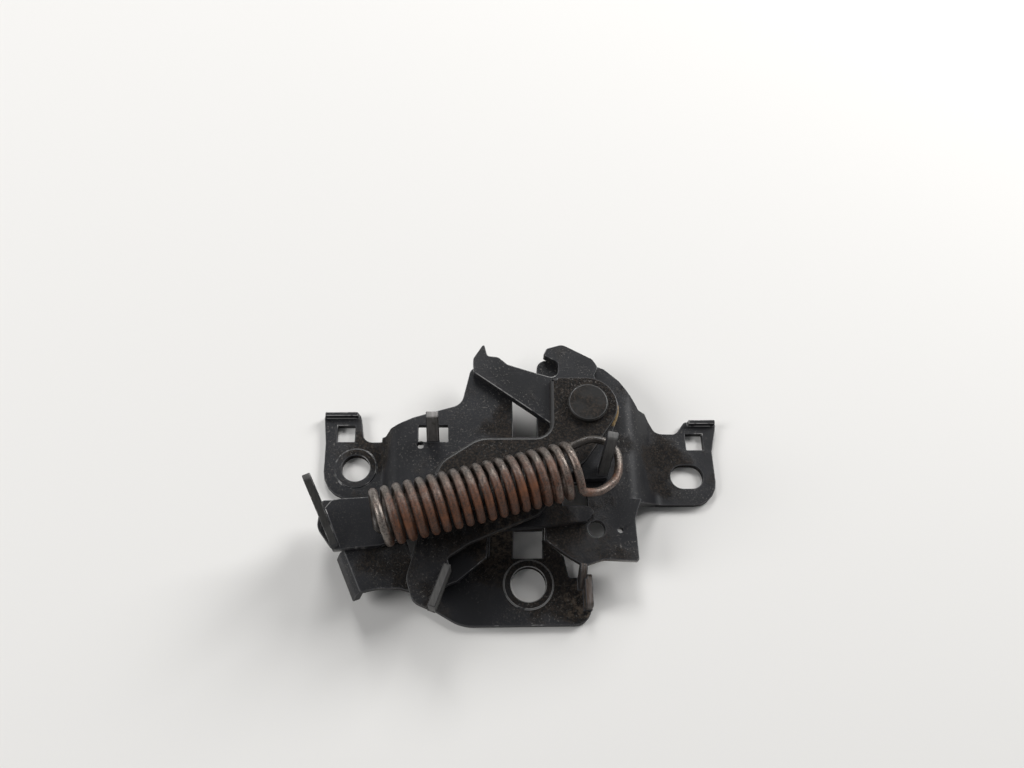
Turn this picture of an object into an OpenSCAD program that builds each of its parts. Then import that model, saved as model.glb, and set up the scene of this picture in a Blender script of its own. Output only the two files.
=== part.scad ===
// Bonnet latch: a folded base plate and a front plate hold a hook and a release pawl on two
// shouldered rivets, and one tension spring pulls on both levers.
// Frame: the backs of the two ears and of the lower boss lie on Z = 0, +Z points out of the
// front, +Y points up to the striker's entry, and the lower bolt hole is on the Z axis.

/* [Sheets] */
// Thickness of the base plate
base_t = 2.6; // [2:0.1:3.2]
// Thickness of the front plate
front_t = 2.6; // [2:0.1:3.2]
// Height of the raised middle of the base plate above the mounting plane
raise = 13; // [11:0.5:16]
// Inside radius of the folds
fold_r = 2; // [1:0.1:2.5]
// Inside radius of the soft slope down to the right ear
slope_r = 5; // [3:0.1:5.5]

/* [Mounting] */
// Diameter of the left bolt hole
left_hole_d = 10; // [8.5:0.1:11]
// Left bolt hole from the lower bolt hole, along X
left_hole_x = -61; // [-64:0.5:-58]
// Left bolt hole from the lower bolt hole, along Y
left_hole_y = 42.6; // [40:0.1:45]
// Diameter of the lower bolt hole
lower_hole_d = 12; // [9:0.1:13]
// Height of the slotted hole in the right ear
slot_h = 9; // [8.5:0.1:10.5]
// Length of the slotted hole in the right ear
slot_len = 12; // [11:0.1:14]
// Slotted hole from the lower bolt hole, along X
slot_x = 59; // [57:0.5:62]
// Slotted hole from the lower bolt hole, along Y
slot_y = 38.8; // [37:0.1:41]
// Side of the square locating holes
locating_side = 6.4; // [5:0.1:7]
// Width of the coined seat round each bolt hole
seat_w = 2.5; // [1.5:0.1:3]

/* [Striker] */
// Width of the striker slot in the base plate
striker_slot_w = 8.4; // [7:0.1:9]
// Radius of the hook's throat
throat_r = 3.3; // [2.5:0.1:3.6]

/* [Hook] */
// Thickness of the hook
hook_t = 3.6; // [3:0.1:4.5]
// Pivot of the hook from the lower bolt hole, along X
hook_x = 21.8; // [20:0.1:23]
// Pivot of the hook from the lower bolt hole, along Y
hook_y = 59.9; // [58:0.1:62]
// Shoulder diameter of the hook's rivet
hook_shoulder_d = 11; // [9:0.1:12]
// Head diameter of the hook's rivet
hook_head_d = 14.4; // [13:0.1:16]
// Height of the hook's spring tab above the mounting plane
tab_top = 37; // [35:0.5:42]

/* [Pawl] */
// Thickness of the release pawl
pawl_t = 3; // [2.4:0.1:3.4]
// Pivot of the pawl from the lower bolt hole, along X
pawl_x = -20; // [-22:0.1:-18]
// Pivot of the pawl from the lower bolt hole, along Y
pawl_y = 26; // [25:0.1:27]
// Shoulder diameter of the pawl's rivet
pawl_shoulder_d = 8; // [7:0.1:9]
// Head diameter of the pawl's rivet
pawl_head_d = 10.5; // [9.5:0.1:12]
// Height of the cable ear above the mounting plane
ear_top = 43.5; // [36:0.5:45]

/* [Spring] */
// Wire diameter
wire_d = 2.8; // [2:0.1:3]
// Outside diameter of the coils
coil_od = 19.6; // [17:0.1:20.5]
// Number of turns
turns = 18; // [12:1:20]
// Length of the coiled part
coil_len = 67.5; // [60:0.5:69]

/* [Fits] */
// Gap between a lever and the plates on both sides of it
lever_gap = 0.3; // [0.2:0.05:0.5]
// Radial running clearance of a lever on its rivet
run_clear = 0.08; // [0.05:0.01:0.1]
// Radial clearance of a rivet's neck in a plate
neck_clear = 0.05; // [0.03:0.01:0.1]
// Gap between the spring and the front plate under it
spring_gap = 1.9; // [1.6:0.1:4]

/* [Hidden] */

$fn = 48;
arc_steps = 5;
cut = 1;
far = 90;

// Levels above the mounting plane
lever_z = raise + lever_gap;
lever_space = hook_t + 2 * lever_gap;
front_z = raise + lever_space;
front_top = front_z + front_t;
raised_mid = raise - base_t / 2;

// Rivets
rivet_tail = 1.6;
hook_head_t = 2.4;
pawl_head_t = 1.2;
neck_step = 1.5;
hook_neck_d = hook_shoulder_d - 2 * neck_step;
pawl_neck_d = pawl_shoulder_d - 2 * neck_step;

// Spring
coil_r = (coil_od - wire_d) / 2;
spring_z = front_top + spring_gap + coil_od / 2;
spring_tilt = 14.4;
spring_left = [-50.2, 14.4];
pitch = coil_len / turns;
steps_per_turn = 14;
wire_sides = 8;

// Points on a corner that is rounded to radius r, or as near to it as its two edges leave room
function unit(v) = v / norm(v);
function rounded_corner(a, b, c, r) =
    let (
        to_a = unit(a - b),
        to_c = unit(c - b),
        half = acos(max(-1, min(1, to_a * to_c))) / 2,
        room = 0.49 * min(norm(a - b), norm(c - b)),
        tangent = min(r / tan(half), room),
        radius = tangent * tan(half),
        centre = b + unit(to_a + to_c) * radius / sin(half),
        from = b + to_a * tangent - centre,
        turn = cross(b - a, c - b) > 0 ? 1 : -1,
        sweep = turn * (180 - 2 * half)
    )
    [for (i = [0 : arc_steps])
        let (w = sweep * i / arc_steps)
        centre + [from.x * cos(w) - from.y * sin(w), from.x * sin(w) + from.y * cos(w)]];

// Outline through [x, y, radius] corners
function outline(corners) =
    let (n = len(corners))
    [for (i = [0 : n - 1])
        let (
            a = corners[(i + n - 1) % n],
            b = corners[i],
            c = corners[(i + 1) % n]
        )
        each b[2] > 0
            ? rounded_corner([a.x, a.y], [b.x, b.y], [c.x, c.y], b[2])
            : [[b.x, b.y]]];

// Section of a sheet of thickness t folded along a middle line, with an inside radius at each point
function side(d) = [-d.y, d.x];
function fold_normals(path) = [for (i = [0 : len(path) - 2]) side(unit(path[i + 1] - path[i]))];
function mitre(path, i) =
    let (
        n = fold_normals(path),
        before = n[max(i - 1, 0)],
        after = n[min(i, len(n) - 1)]
    )
    (before + after) / (1 + before * after);
function fold_turn(path, i) =
    i == 0 || i == len(path) - 1 ? 0 : cross(path[i] - path[i - 1], path[i + 1] - path[i]);
function fold_side(path, t, radii, way) =
    [for (i = [0 : len(path) - 1])
        let (
            p = path[i] + way * mitre(path, i) * t / 2,
            bend = way * fold_turn(path, i)
        )
        [p.x, p.y, bend == 0 ? 0 : (bend > 0 ? radii[i] : radii[i] + t)]];
function folded(path, t, radii) =
    let (
        left = fold_side(path, t, radii, 1),
        right = fold_side(path, t, radii, -1)
    )
    outline(concat(left, [for (i = [len(right) - 1 : -1 : 0]) right[i]]));

module plate(corners, z, t) {
    translate([0, 0, z])
        linear_extrude(t)
            polygon(outline(corners));
}

// Folded sheet whose section lies in XZ and runs along Y
module fold_along_y(path, t, radii, y_from, y_to) {
    translate([0, y_to, 0])
        rotate([90, 0, 0])
            linear_extrude(y_to - y_from)
                polygon(folded(path, t, radii));
}

// Folded sheet whose section lies in YZ and runs along X
module fold_along_x(path, t, radii, x_from, x_to) {
    translate([x_from, 0, 0])
        rotate([90, 0, 90])
            linear_extrude(x_to - x_from)
                polygon(folded(path, t, radii));
}

module bore(x, y, d, z_from, z_to) {
    translate([x, y, z_from])
        cylinder(d = d, h = z_to - z_from);
}

module window(x, y, w, h, z_from, z_to) {
    translate([x - w / 2, y - h / 2, z_from])
        cube([w, h, z_to - z_from]);
}

// Base plate

// Corners of the left ear, from its bolt hole
ear_r = 11.4;
left_ear = [
    [22, -ear_r, 0], [-ear_r, -ear_r, ear_r - 1], [-ear_r, 10, 3], [-12.6, 21.5, 1.5],
    [0.8, 21.5, 1.5], [2.4, 10.2, 3.5], [22, 10.2, 0]
];
// Corners of the right ear, from its slotted hole
right_ear = [
    [-24, -10.8, 0], [10.4, -10.8, 9], [10.4, 10, 3], [13.4, 21.8, 1.5],
    [1.2, 21.8, 2], [-2.4, 16.8, 3], [-10, 17, 4], [-14, 24, 0], [-24, 24, 0]
];
left_square = [-4.2, 13.6];
right_square = [4.2, 13.7];
lip_t = 1.6;
lip_h = 2;
left_lip = [-12, 21.5];
left_lip_w = 12;
right_lip = [2.4, 21.8];
right_lip_w = 10;

// Where the sheet folds between the ears and the raised middle
left_fold_x = -48;
left_slope_foot = 2;
left_slope_head = 1.4;
right_fold_x = 38;
right_slope_w = 8.5;
ear_fold_low_y = 26;

slot_foot_y = 44;
slot_mid_x = -0.4;
slot_left_x = slot_mid_x - striker_slot_w / 2;
slot_right_x = slot_mid_x + striker_slot_w / 2;
// Corners of the raised middle above the ears' lower edge
middle = [
    [left_fold_x - 4, ear_fold_low_y, 0], [left_fold_x - 4, 54.6, 0], [-47, 55, 3], [-40, 58.2, 6],
    [-23, 63.2, 5], [-19.4, 78.6, 2.5], [-8, 75.5, 2], [slot_left_x, 71, 2],
    [slot_left_x, slot_foot_y, 3], [slot_right_x, slot_foot_y, 3], [slot_right_x + 1, 81.2, 3.4],
    [22, 80.5, 3], [29.6, 77.6, 3], [35, 72.6, 4], [47, 56, 0], [47, 28.2, 0], [39.5, ear_fold_low_y, 0]
];
// Corners of the raised middle below the ears
skirt_start = [-62.2, 10];
skirt_end = [-55.9, -4.4];
web_left = -13.9;
web_right = 5.6;
web_top = 20;
web_foot = 10;
lower = [
    [-70.8, 27.2, 1.5], [-71.6, 17.5, 5], [-66.4, 10.4, 3], [skirt_start.x, skirt_start.y, 0],
    [skirt_end.x, skirt_end.y, 1],
    [-50.7, -3.3, 6], [-43, -3.3, 4], [-36, -5.6, 3], [-24.1, -1.1, 1], [-14.4, 6.8, 0.8],
    [web_left, web_top, 0.8], [web_right, web_top, 0.8], [web_right, 12.4, 0.8], [13.4, 6.6, 0.8],
    [18.2, 3.6, 1.5], [25, 5.8, 4], [37, 5.1, 0.8], [36.8, 20, 6], [39.5, 27, 0]
];
boss_right = 21.3;
boss_flange_h = 8.5;
boss_flange_foot = -9;
boss_flange_head = 2.2;
boss_flange_r = 1.6;
// Corners of the boss tongue, with the sloped web that carries it
tongue = [
    [-37, -5.4, 1], [-23, -13.9, 15], [boss_right, -13.9, 6], [boss_right, boss_flange_head, 0.8],
    [14, boss_flange_head, 1],
    [12.6, 9.6, 1], [web_right - 0.4, 14.4, 1], [web_right - 0.4, web_top + 4, 0],
    [web_left + 0.4, web_top + 4, 0], [web_left + 0.4, 10, 1], [-24.2, 1.5, 1]
];
strip_x = 17;
strip_w = 2.4;
strip_foot = -2;
strip_head = 7.5;
strip_r = 2;
strip_under = 2;
strip_over = 5;
skirt_h = 7;
skirt_lean = 2.2;
skirt_inset = 6;
post_x = -33;
post_foot_y = 48.6;
post_w = 4.4;
post_top = 25.6;
post_lean = 4.6;
post_window_w = 10.6;
post_window_h = 6.4;
gauge_hole_d = 5.9;
gauge_hole = [23.2, 16.3];
small_hole_d = 1.8;
small_hole = [31.4, 15.8];
peg_hole_d = 2.4;
peg_hole = [-37.4, 47.3];
tongue_window_w = 10.2;
tongue_window_top = 17.2;
tongue_window_foot = 9.1;
nose_window = [16.3, 28.4];
nose_window_w = 8.6;
nose_window_h = 8.8;
// Where the spring's left end hooks into the pawl, and the window behind it
anchor = [-47.5, 15.6];
anchor_window = [
    [-54.5, 13.2, 1], [-41.6, 13.2, 0.6], [-39.3, 6.8, 0.6], [-36, 9, 1], [-36, 22, 1], [-54.5, 22, 1]
];

module ears_and_middle() {
    hat = [
        [-far, base_t / 2], [left_fold_x - left_slope_foot, base_t / 2],
        [left_fold_x + left_slope_head, raised_mid],
        [right_fold_x, raised_mid], [right_fold_x + right_slope_w, base_t / 2], [far, base_t / 2]
    ];
    intersection() {
        fold_along_y(hat, base_t, [0, fold_r, fold_r, slope_r, slope_r, 0], ear_fold_low_y, far);
        union() {
            translate([left_hole_x, left_hole_y, 0])
                plate(left_ear, -cut, raise + 2 * cut);
            translate([slot_x, slot_y, 0])
                plate(right_ear, -cut, raise + 2 * cut);
            plate(middle, -cut, raise + 2 * cut);
        }
    }
}

// Stiffening skirt folded back along a slanted edge of the raised plate
module skirt(from, to) {
    run = to - from;
    section = [[skirt_inset, raised_mid], [0, raised_mid], [-skirt_lean, raised_mid - skirt_h]];
    translate([from.x, from.y, 0])
        rotate([0, 0, atan2(run.y, run.x) + 90])
            fold_along_y(section, base_t, [0, fold_r, 0], -norm(run), 0);
}

module ear_lip(x, y, w) {
    translate([x, y - lip_t, 0])
        cube([w, lip_t, base_t + lip_h]);
}

module coined_seat(x, y, d) {
    coin_t = 0.4;
    bore(x, y, d + 2 * seat_w, base_t - cut, base_t + coin_t);
}

module slotted(x, y, w, h, z_from, z_to) {
    for (way = [-1, 1])
        bore(x + way * (w - h) / 2, y, h, z_from, z_to);
    window(x, y, w - h, h, z_from, z_to);
}

// Flange up the right edge of the boss
module boss_flange() {
    translate([boss_right - base_t, 0, 0])
        rotate([90, 0, 90])
            linear_extrude(base_t)
                polygon(outline([
                    [boss_flange_foot, 0, 0], [boss_flange_head, 0, 0],
                    [boss_flange_head, boss_flange_h, boss_flange_r],
                    [boss_flange_foot, boss_flange_h, boss_flange_r]
                ]));
}

// Narrow strip that ties the boss to the raised plate above it
module boss_strip() {
    translate([strip_x, 0, 0])
        rotate([90, 0, 90])
            linear_extrude(strip_w)
                polygon(outline([
                    [strip_foot, 0, 0], [boss_flange_head - cut, 0, 0],
                    [strip_head - strip_under, raise - base_t, strip_r],
                    [strip_head, raise - base_t, 0], [strip_head, raise, 0],
                    [strip_head - strip_over, raise, strip_r], [strip_foot, base_t, strip_r]
                ]));
}

// Locating post lanced out of its window, leaning up
module post() {
    root = 0.8;
    translate([post_x - post_w / 2, post_foot_y, 0])
        rotate([90, 0, 90])
            linear_extrude(post_w)
                polygon(outline([
                    [-root, raise - base_t, 0], [base_t - root, raise - base_t, 0],
                    [base_t - root + post_lean, post_top, 0.6], [post_lean - root, post_top, 0.6]
                ]));
}

module base_plate() {
    top = raise + cut;
    boss_fold = [[far, raised_mid], [web_top, raised_mid], [web_foot, base_t / 2], [-far, base_t / 2]];
    color([0.10, 0.10, 0.11])
        difference() {
            union() {
                ears_and_middle();
                plate(lower, raise - base_t, base_t);
                skirt(skirt_start, skirt_end);
                intersection() {
                    fold_along_x(boss_fold, base_t, [0, fold_r, fold_r, 0], -far, far);
                    plate(tongue, -cut, raise + 2 * cut);
                }
                ear_lip(left_hole_x + left_lip.x, left_hole_y + left_lip.y, left_lip_w);
                ear_lip(slot_x + right_lip.x, slot_y + right_lip.y, right_lip_w);
                boss_flange();
                boss_strip();
                coined_seat(left_hole_x, left_hole_y, left_hole_d);
                coined_seat(0, 0, lower_hole_d);
            }
            bore(left_hole_x, left_hole_y, left_hole_d, -cut, base_t + cut);
            bore(0, 0, lower_hole_d, -cut, base_t + cut);
            slotted(slot_x, slot_y, slot_len, slot_h, -cut, base_t + cut);
            window(left_hole_x + left_square.x, left_hole_y + left_square.y,
                locating_side, locating_side, -cut, base_t + cut);
            window(slot_x + right_square.x, slot_y + right_square.y,
                locating_side, locating_side, -cut, base_t + cut);
            bore(hook_x, hook_y, hook_neck_d + 2 * neck_clear, 0, top);
            bore(pawl_x, pawl_y, pawl_neck_d + 2 * neck_clear, 0, top);
            bore(gauge_hole.x, gauge_hole.y, gauge_hole_d, 0, top);
            bore(small_hole.x, small_hole.y, small_hole_d, 0, top);
            bore(peg_hole.x, peg_hole.y, peg_hole_d, 0, top);
            window(post_x, post_foot_y + post_window_h / 2, post_window_w, post_window_h,
                raise - base_t - cut, top);
            window(0, (tongue_window_top + tongue_window_foot) / 2, tongue_window_w,
                tongue_window_top - tongue_window_foot, -cut, top);
            window(nose_window.x, nose_window.y, nose_window_w, nose_window_h, 0, top);
            plate(anchor_window, 0, top);
        }
    color([0.10, 0.10, 0.11])
        post();
}

// Front plate

// Ends of the upstand's foot
upstand_from = [-31, -12.6];
upstand_to = [-26, 0.9];
upstand_h = 6;
// Round lug about the hook's pivot, from its right side to its top
lug_r = 10.8;
lug_steps = 14;
lug_start = -35;
lug_arc = [for (i = [0 : lug_steps])
    let (w = lug_start + (90 - lug_start) * i / lug_steps)
    [hook_x + lug_r * cos(w), hook_y + lug_r * sin(w), 0]];
// Corners of the front plate, apart from its round lug
front = [
    [8.8, hook_y + lug_r, 1.5], [8.2, 47.7, 5.5], [-17, 47.7, 9], [-31, 38.5, 9], [-37.6, 10, 3],
    [-40.8, -1.5, 6], [-38.6, -9.2, 5], [upstand_from.x, upstand_from.y, 0],
    [upstand_to.x, upstand_to.y, 0], [-27.6, 4.8, 1.5], [-20, 9.8, 4],
    [3.4, 19.5, 4], [12, 32, 8], [20, 38.6, 6]
];

module front_plate() {
    upstand_run = upstand_to - upstand_from;
    color([0.13, 0.12, 0.11])
        difference() {
            union() {
                plate(concat(front, lug_arc), front_z, front_t);
                translate([upstand_from.x, upstand_from.y, front_z])
                    rotate([0, 0, atan2(upstand_run.y, upstand_run.x)])
                        cube([norm(upstand_run), front_t, front_t + upstand_h]);
            }
            bore(hook_x, hook_y, hook_neck_d + 2 * neck_clear, front_z - cut, front_top + cut);
            bore(pawl_x, pawl_y, pawl_neck_d + 2 * neck_clear, front_z - cut, front_top + cut);
        }
}

// Hook, from its pivot

hub_r = 11.6;
hook_outline = [
    [-40.6, 14.6, 1], [-15, -4.6, 4], [-7.5, -10.5, 3], [-7, -20, 5], [-3, -27, 2], [6, -26.7, 1],
    [6, -16, 4], [11.2, -3, 6], [10, 6, 4], [3.2, 12.6, 1.5], [5.2, 16.4, 2], [3.2, 19.8, 1.5],
    [-7.6, 25.9, 3], [-13.6, 24.2, 1.6], [-14.8, 21.4, 0.6], [-9.4, 18.4, 2],
    [-9.9, 11.6, throat_r], [-17, 13.8, 1.5], [-28, 17.6, 3], [-31.4, 20.6, 2], [-35.4, 21.2, 1],
    [-36.4, 25.6, 0.3], [-37.2, 25.4, 0.3], [-40.6, 20, 3]
];
// Spring tab: its left side and its foot's two ends from the pivot, and how far its top leans up
tab_x = 2.4;
tab_turn = 10;
tab_foot = -26.7;
tab_root = -23.4;
tab_lean = 6.2;

module hook() {
    color([0.14, 0.14, 0.15])
        translate([hook_x, hook_y, 0])
            difference() {
                union() {
                    plate(hook_outline, lever_z, hook_t);
                    bore(0, 0, 2 * hub_r, lever_z, lever_z + hook_t);
                    spring_tab();
                }
                bore(0, 0, hook_shoulder_d + 2 * run_clear, lever_z - cut, lever_z + hook_t + cut);
            }
}

module spring_tab() {
    foot_y = (tab_foot + tab_root) / 2;
    half = (tab_root - tab_foot) / 2;
    translate([tab_x + hook_t / 2, foot_y, 0])
        rotate([0, 0, -tab_turn])
            translate([-hook_t / 2, 0, 0])
                rotate([90, 0, 90])
                    linear_extrude(hook_t)
                        polygon(outline([
                            [-half, lever_z, 0], [half, lever_z, 0],
                            [half + tab_lean, tab_top, 1], [tab_lean - half, tab_top, 1]
                        ]));
}

// Release pawl

// Ends of the cable ear's foot, from the pawl's pivot
ear_from = [-45.4, -17.2];
ear_to = [-50.6, -5];
// Corners of the pawl, from its pivot
pawl_outline = [
    [ear_from.x, ear_from.y, 0], [-30, -15.8, 3], [-12, -10.6, 8], [3, -11.4, 6], [26.5, -9.4, 5],
    [39.5, -8, 1.5], [42.6, -5, 1.5], [40.8, -2.7, 1.2], [30, -2.5, 4], [10, 7, 8], [-8, 8.4, 6],
    [-30, 1.4, 6], [-46.5, 0.4, 3], [ear_to.x, ear_to.y, 0]
];
ear_t = 2.6;
ear_tip_w = 4.4;
ear_nub_h = 5;
ear_lean = 4.4;
ear_waist = 7;
ear_waist_h = 9;

// Upright cable ear along the pawl's left edge
module cable_ear() {
    run = ear_to - ear_from;
    reach = norm(run);
    shoulder = ear_top - ear_nub_h;
    translate([ear_from.x, ear_from.y, 0])
        rotate([0, 0, atan2(run.y, run.x)])
            rotate([90, 0, 0])
                linear_extrude(ear_t)
                    polygon(outline([
                        [0, lever_z, 0], [reach, lever_z, 0], [reach + ear_lean, shoulder, 1],
                        [reach + ear_lean, ear_top, 1.2], [reach + ear_lean - ear_nub_h / 2, ear_top, 1],
                        [reach + ear_lean - ear_tip_w, shoulder, 1],
                        [reach - ear_waist, lever_z + ear_waist_h, 3],
                        [0, lever_z + 1.5 * pawl_t, 2]
                    ]));
}

module release_pawl() {
    anchor_hole_d = wire_d + 1.4;
    color([0.12, 0.12, 0.13])
        difference() {
            translate([pawl_x, pawl_y, 0])
                union() {
                    plate(pawl_outline, lever_z, pawl_t);
                    cable_ear();
                }
            bore(pawl_x, pawl_y, pawl_shoulder_d + 2 * run_clear, lever_z - cut, lever_z + pawl_t + cut);
            bore(anchor.x, anchor.y, anchor_hole_d, lever_z - cut, lever_z + pawl_t + cut);
        }
}

// Rivets

// Shouldered rivet: a tail under the base plate, a shoulder between the plates and a head in front
module shouldered_rivet(shoulder_d, neck_d, head_d, head_t) {
    foot = raise - base_t;
    edge = 0.5;
    rotate_extrude()
        polygon([
            [0, foot - rivet_tail], [shoulder_d / 2 - edge, foot - rivet_tail],
            [shoulder_d / 2, foot - rivet_tail + edge], [shoulder_d / 2, foot], [neck_d / 2, foot],
            [neck_d / 2, raise], [shoulder_d / 2, raise], [shoulder_d / 2, front_z],
            [neck_d / 2, front_z], [neck_d / 2, front_top], [head_d / 2, front_top],
            [head_d / 2, front_top + head_t - edge], [head_d / 2 - edge, front_top + head_t],
            [0, front_top + head_t]
        ]);
}

module hook_rivet() {
    color([0.20, 0.19, 0.18])
        translate([hook_x, hook_y, 0])
            shouldered_rivet(hook_shoulder_d, hook_neck_d, hook_head_d, hook_head_t);
}

module pawl_rivet() {
    color([0.20, 0.19, 0.18])
        translate([pawl_x, pawl_y, 0])
            shouldered_rivet(pawl_shoulder_d, pawl_neck_d, pawl_head_d, pawl_head_t);
}

// Spring

axis_dir = [cos(spring_tilt), sin(spring_tilt), 0];
up_dir = [-sin(spring_tilt), cos(spring_tilt), 0];
// Point on the coil, which winds down over the front as it goes right
function coil_point(angle, along) =
    [spring_left.x, spring_left.y, spring_z] + axis_dir * along
    - up_dir * coil_r * sin(angle) + [0, 0, coil_r * cos(angle)];

// Smooth curve through points chosen by hand
function catmull(a, b, c, d, t) =
    0.5 * (2 * b + (c - a) * t + (2 * a - 5 * b + 4 * c - d) * t * t + (3 * b - a - 3 * c + d) * t * t * t);
function through(points, steps) =
    let (n = len(points))
    [for (i = [0 : n - 2], k = [0 : steps - 1])
        catmull(points[max(i - 1, 0)], points[i], points[i + 1], points[min(i + 2, n - 1)], k / steps)];

start_angle = 180;
// The last turn leaves the coil in front, before it reaches the lower side
loop_early = 35;
wound = turns - 0.25 - loop_early / 360;
anchor_drop = 1.6;
anchor_end = lever_z - anchor_drop;
coil_start = coil_point(start_angle, 0);
left_end = [
    [anchor.x + 4.2, anchor.y + 0.8, anchor_end], [anchor.x + 1.8, anchor.y + 0.2, anchor_end + 0.1],
    [anchor.x + 0.2, anchor.y, lever_z], [anchor.x, anchor.y, lever_z + pawl_t],
    [anchor.x - 1.2, anchor.y - 1.6, spring_z - coil_r - 2.6], coil_start
];
// The right loop goes round the hook's tab, from the foot of the last front strand
tab_right = hook_x + tab_x + hook_t;
tab_swing = 0.9;
loop_x = tab_right + wire_d / 2 + tab_swing;
coil_end = coil_point(start_angle + 360 * wound, pitch * wound);
right_end = [
    coil_end, [loop_x - 13.6, 22.7, spring_z + 2.1], [loop_x - 10.9, 22.9, spring_z - 0.1],
    [loop_x - 6.7, 24.4, spring_z - 2.1], [loop_x - 1.8, 28.8, spring_z - 4.6],
    [loop_x, 34, spring_z - 6], [loop_x, 39.6, spring_z - 7.4], [loop_x - 3.6, 43.4, spring_z - 7],
    [loop_x - 9.4, 44, spring_z - 6], [loop_x - 16.6, 41.4, spring_z - 7.2]
];
coil_path = [for (i = [1 : steps_per_turn * wound - 1])
    coil_point(start_angle + 360 * i / steps_per_turn, pitch * i / steps_per_turn)];
loop_steps = 3;
spring_path = concat(
    through(left_end, loop_steps), [coil_start], coil_path,
    through(right_end, loop_steps), [right_end[len(right_end) - 1]]
);

// Round wire swept along a path, with a frame that turns as little as it can
function path_dir(p, i) = unit(p[min(i + 1, len(p) - 1)] - p[max(i - 1, 0)]);
function square_to(v, d) = unit(v - d * (v * d));
function frames(p) =
    [for (i = 0, side_way = square_to([0, 1, 0.3], path_dir(p, 0));
        i < len(p);
        i = i + 1, side_way = i < len(p) ? square_to(side_way, path_dir(p, i)) : side_way) side_way];

module wire(path, d) {
    across = frames(path);
    n = len(path);
    rings = [for (i = [0 : n - 1], k = [0 : wire_sides - 1])
        let (
            w = 360 * k / wire_sides,
            other = cross(path_dir(path, i), across[i])
        )
        path[i] + d / 2 * (across[i] * cos(w) + other * sin(w))];
    sides = [for (i = [0 : n - 2], k = [0 : wire_sides - 1])
        let (next = (k + 1) % wire_sides)
        [i * wire_sides + k, (i + 1) * wire_sides + k, (i + 1) * wire_sides + next, i * wire_sides + next]];
    first_end = [for (k = [0 : wire_sides - 1]) k];
    last_end = [for (k = [wire_sides - 1 : -1 : 0]) (n - 1) * wire_sides + k];
    polyhedron(rings, concat(sides, [first_end, last_end]));
}

module main_spring() {
    color([0.33, 0.20, 0.13])
        wire(spring_path, wire_d);
}

base_plate();
front_plate();
hook();
hook_rivet();
release_pawl();
pawl_rivet();
main_spring();
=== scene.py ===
"""Looks of the bonnet latch: rounded pressings, a wound spring, dirty satin black paint and rust."""
import math

import bpy
from mathutils import Matrix, Vector
from mathutils.bvhtree import BVHTree


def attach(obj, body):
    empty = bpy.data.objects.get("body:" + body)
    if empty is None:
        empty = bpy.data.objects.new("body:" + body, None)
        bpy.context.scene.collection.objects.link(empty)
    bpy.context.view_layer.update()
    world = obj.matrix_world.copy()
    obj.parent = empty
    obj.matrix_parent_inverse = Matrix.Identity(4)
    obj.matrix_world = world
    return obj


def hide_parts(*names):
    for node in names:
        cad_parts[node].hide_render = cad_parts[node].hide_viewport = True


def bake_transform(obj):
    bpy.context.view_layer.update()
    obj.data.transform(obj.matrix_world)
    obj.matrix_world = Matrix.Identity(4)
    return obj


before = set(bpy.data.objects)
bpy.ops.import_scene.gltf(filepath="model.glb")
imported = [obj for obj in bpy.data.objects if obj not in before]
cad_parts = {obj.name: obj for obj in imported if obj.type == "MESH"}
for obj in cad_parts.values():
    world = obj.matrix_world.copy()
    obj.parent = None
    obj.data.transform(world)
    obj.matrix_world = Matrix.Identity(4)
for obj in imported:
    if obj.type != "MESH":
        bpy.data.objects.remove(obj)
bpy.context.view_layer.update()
MM = 0.001

# Sizes repeated from the part's source, in millimetres
BASE_TOP = 13.0
FRONT_TOP = 19.8
WIRE_D = 2.8
COIL_OD = 19.6
TURNS = 18
COIL_LENGTH = 67.5
SPRING_Z = 31.5
SPRING_TILT = 14.4
SPRING_LEFT = (-50.2, 14.4)
ANCHOR = (-47.5, 15.6)
LOOP_EARLY = 35.0
PAWL_FLOOR = 13.3
PAWL_SHEET = 3.0
HOOK_TOP = 16.9
TAB_RIGHT = 27.8
TAB_SWING = 0.9
EAR_RUN = (-0.392, 0.920)

# Strength of the sky as light, and as the camera and reflections see it
SKY_LIGHT = 0.12
SKY_SEEN = 0.5

# Edge rounding and mesh limits, in millimetres, and angles in degrees
EDGE_BREAK = 0.3
FRONT_BREAK = 0.35
RIVET_BREAK = 0.2
BREAK_STEPS = 2
RIM_RADIUS = 1.3
RIM_STEPS = 4
STRAY_LIMIT = 0.2
CAD_MERGE = 0.002
BEVEL_MERGE = 0.004
SHARP_TURN = 40.0
FLAT_TURN = 32.0
WIRE_TURN = 50.0

# Colours
BLACK = (0.0075, 0.0076, 0.0088)
BLACK_WORN = (0.016, 0.0165, 0.019)
BLACK_RUBBED = (0.021, 0.0215, 0.024)
# Pale steel of rubbed edges, which also serves as painted edge highlight
STEEL_AND_HIGHLIGHT = (0.23, 0.225, 0.22)
DUST = (0.060, 0.054, 0.047)
DIRT_DARK = (0.0028, 0.0025, 0.0022)
DIRT_BROWN = (0.035, 0.0280, 0.0230)
CRUMB_BROWN = (0.115, 0.090, 0.069)
CHIP_GREY = (0.108, 0.102, 0.094)
GREASE_YELLOW = (0.25, 0.165, 0.065)
OLD_RUST = (0.040, 0.024, 0.016)
WIRE_DARK = (0.027, 0.023, 0.020)
WIRE_GREY = (0.205, 0.180, 0.160)
RUST_DARK = (0.016, 0.008, 0.0045)
RUST_BROWN = (0.125, 0.045, 0.0185)
RUST_FRESH = (0.165, 0.058, 0.0215)
# Painted shade colour for the spring wire's ends
WIRE_SHADE = (0.020, 0.0155, 0.012)
RIVET_DARK = (0.0115, 0.0110, 0.0106)
RIVET_GREY = (0.020, 0.0193, 0.0187)
FLOOR_PALE = (0.785, 0.773, 0.751)
SKY_WHITE = (0.95, 0.97, 1.0)

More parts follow.
